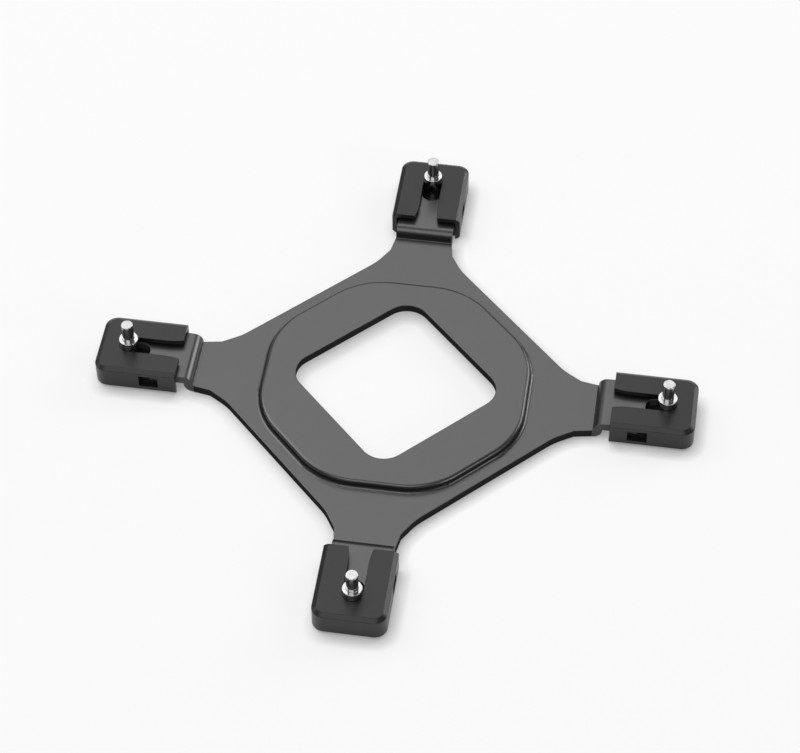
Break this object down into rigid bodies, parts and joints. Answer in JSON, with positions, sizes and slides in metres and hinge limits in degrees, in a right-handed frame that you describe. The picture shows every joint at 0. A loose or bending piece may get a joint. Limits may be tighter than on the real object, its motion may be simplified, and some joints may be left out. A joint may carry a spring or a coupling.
{
  "type": "cpu cooler mounting bracket",
  "caption": "X-shaped stamped steel backplate with a square window and sliding plastic blocks with studs, which clamps a CPU cooler from behind the board.",
  "frame": {"origin": "centre of the square stud pattern, on the plane that the undersides of the blocks stand on", "axes": "+Z from the underside towards the studs and the board, X and Y along the sides of the square opening, arms on the diagonals"},
  "size_m": [0.0948, 0.0948, 0.0117],
  "materials": {
    "black_paint": "fine satin black powder coat",
    "black_plastic": "matt moulded black",
    "bright_steel": "turned and nickel plated"
  },
  "bodies": {
    "backplate": {"backplate": "black_paint"},
    "block_back_right": {"slider_back_right": "black_plastic", "stud_back_right": "bright_steel"},
    "block_back_left": {"slider_back_left": "black_plastic", "stud_back_left": "bright_steel"},
    "block_front_left": {"slider_front_left": "black_plastic", "stud_front_left": "bright_steel"},
    "block_front_right": {"slider_front_right": "black_plastic", "stud_front_right": "bright_steel"}
  },
  "joints": [
    {"name": "slide_back_right", "type": "slide", "parent": "backplate", "child": "block_back_right", "axis": [0.7071, 0.7071, 0], "range_m": [-0.00212, 0.00141]},
    {"name": "slide_back_left", "type": "slide", "parent": "backplate", "child": "block_back_left", "axis": [-0.7071, 0.7071, 0], "range_m": [-0.00212, 0.00141]},
    {"name": "slide_front_left", "type": "slide", "parent": "backplate", "child": "block_front_left", "axis": [-0.7071, -0.7071, 0], "range_m": [-0.00212, 0.00141]},
    {"name": "slide_front_right", "type": "slide", "parent": "backplate", "child": "block_front_right", "axis": [0.7071, -0.7071, 0], "range_m": [-0.00212, 0.00141]}
  ]
}
